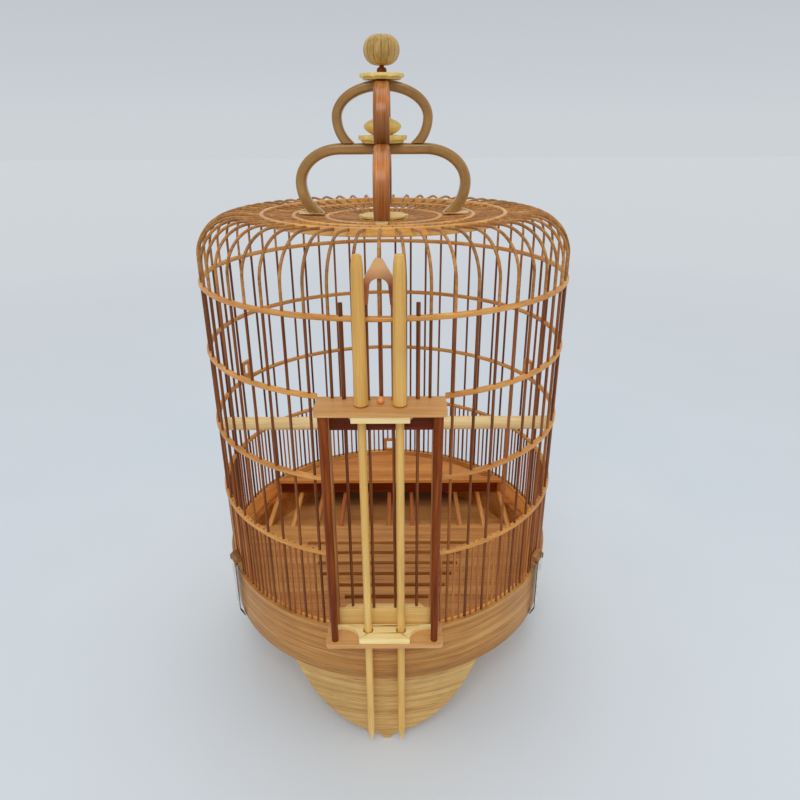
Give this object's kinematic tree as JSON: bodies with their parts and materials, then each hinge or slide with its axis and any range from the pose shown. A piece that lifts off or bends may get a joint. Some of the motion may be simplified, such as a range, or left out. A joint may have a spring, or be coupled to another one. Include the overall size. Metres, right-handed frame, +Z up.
{
  "type": "bird cage",
  "caption": "Round wooden bird cage with a domed roof, crossed arch handle, lifting front door with turned locking rods, slatted floor and a separate base on tongue-shaped feet",
  "frame": {"origin": "on the cage's axis, in the plane that its feet stand on", "axes": "+Z up along the cage's axis, -Y out of the door, +X to the right of someone who faces the door"},
  "size_m": [0.342, 0.3614, 0.6101],
  "materials": {
    "band_wood": "honey-tan varnished wood, grain running round",
    "hoop_wood": "honey varnished wood",
    "bar_wood": "red-brown round bars, satin",
    "roof_bar_wood": "tan-brown round bars, satin",
    "dark_wood": "dark red-brown polished wood",
    "box_wood": "pale yellow turned wood, satin",
    "arch_wood": "olive-tan bent strips, polished",
    "floor_wood": "plain tan boards, satin",
    "perch_wood": "pale yellow rod, satin",
    "steel": "thin bright steel strip"
  },
  "bodies": {
    "base": {"foot_ring": "band_wood", "tray_board": "floor_wood", "sleeve_ring": "floor_wood", "floor_board": "floor_wood", "floor_slats": "floor_wood", "floor_batten": "floor_wood", "bench_seat": "floor_wood", "bench_apron": "dark_wood", "bench_cleat": "floor_wood"},
    "cage": {"base_band": "band_wood", "hoop_top": "hoop_wood", "hoop_upper": "hoop_wood", "hoop_middle": "hoop_wood", "hoop_lower": "hoop_wood", "wall_ribs": "bar_wood", "door_ribs": "bar_wood", "skirt_bars": "bar_wood", "roof_ribs": "roof_bar_wood", "roof_ring_outer": "hoop_wood", "roof_ring_middle": "hoop_wood", "roof_ring_inner": "hoop_wood", "crown_hub": "box_wood", "crown_plate": "box_wood", "perch": "perch_wood", "cup_windows": "box_wood", "door_top_plate": "hoop_wood", "door_bottom_plate": "hoop_wood", "door_posts": "dark_wood", "door_jambs": "hoop_wood", "door_header": "dark_wood", "door_top_bracket": "box_wood", "door_bottom_bracket": "box_wood", "plate_pin": "dark_wood", "clip_blocks": "box_wood", "clip_pins": "steel", "handle_pads": "box_wood", "handle_underplates": "arch_wood", "handle_dowels": "box_wood", "lower_arch_side": "arch_wood", "lower_arch_front": "arch_wood", "upper_arch_side": "arch_wood", "upper_arch_front": "arch_wood", "mid_disc": "box_wood", "top_disc": "box_wood", "ornament": "box_wood", "bead": "dark_wood", "finial": "box_wood", "handle_spindle": "dark_wood", "spindle_nut": "box_wood"},
    "door": {"grille_rail": "box_wood", "grille_bars": "bar_wood", "grille_grip": "box_wood"},
    "rod_left": {"club_rod_left": "box_wood"},
    "rod_right": {"club_rod_right": "box_wood"},
    "clip_left_leaf": {"clip_left": "steel"},
    "clip_right_leaf": {"clip_right": "steel"}
  },
  "joints": [
    {"name": "cage_lift", "type": "slide", "parent": "base", "child": "cage", "axis": [0, 0, 1], "range_m": [0, 0.06]},
    {"name": "door_lift", "type": "slide", "parent": "cage", "child": "door", "axis": [0, 0, 1], "range_m": [0, 0.17]},
    {"name": "rod_left_lift", "type": "slide", "parent": "cage", "child": "rod_left", "axis": [0, 0, 1], "range_m": [0, 0.2]},
    {"name": "rod_right_lift", "type": "slide", "parent": "cage", "child": "rod_right", "axis": [0, 0, 1], "range_m": [0, 0.2]},
    {"name": "clip_left_swing", "type": "hinge", "parent": "cage", "child": "clip_left_leaf", "pos_m": [-0.1506, -0.08695, 0.1464], "axis": [-0.5, 0.866, 0], "range_deg": [0, 90]},
    {"name": "clip_right_swing", "type": "hinge", "parent": "cage", "child": "clip_right_leaf", "pos_m": [0.1506, -0.08695, 0.1464], "axis": [-0.5, -0.866, 0], "range_deg": [0, 90]}
  ]
}
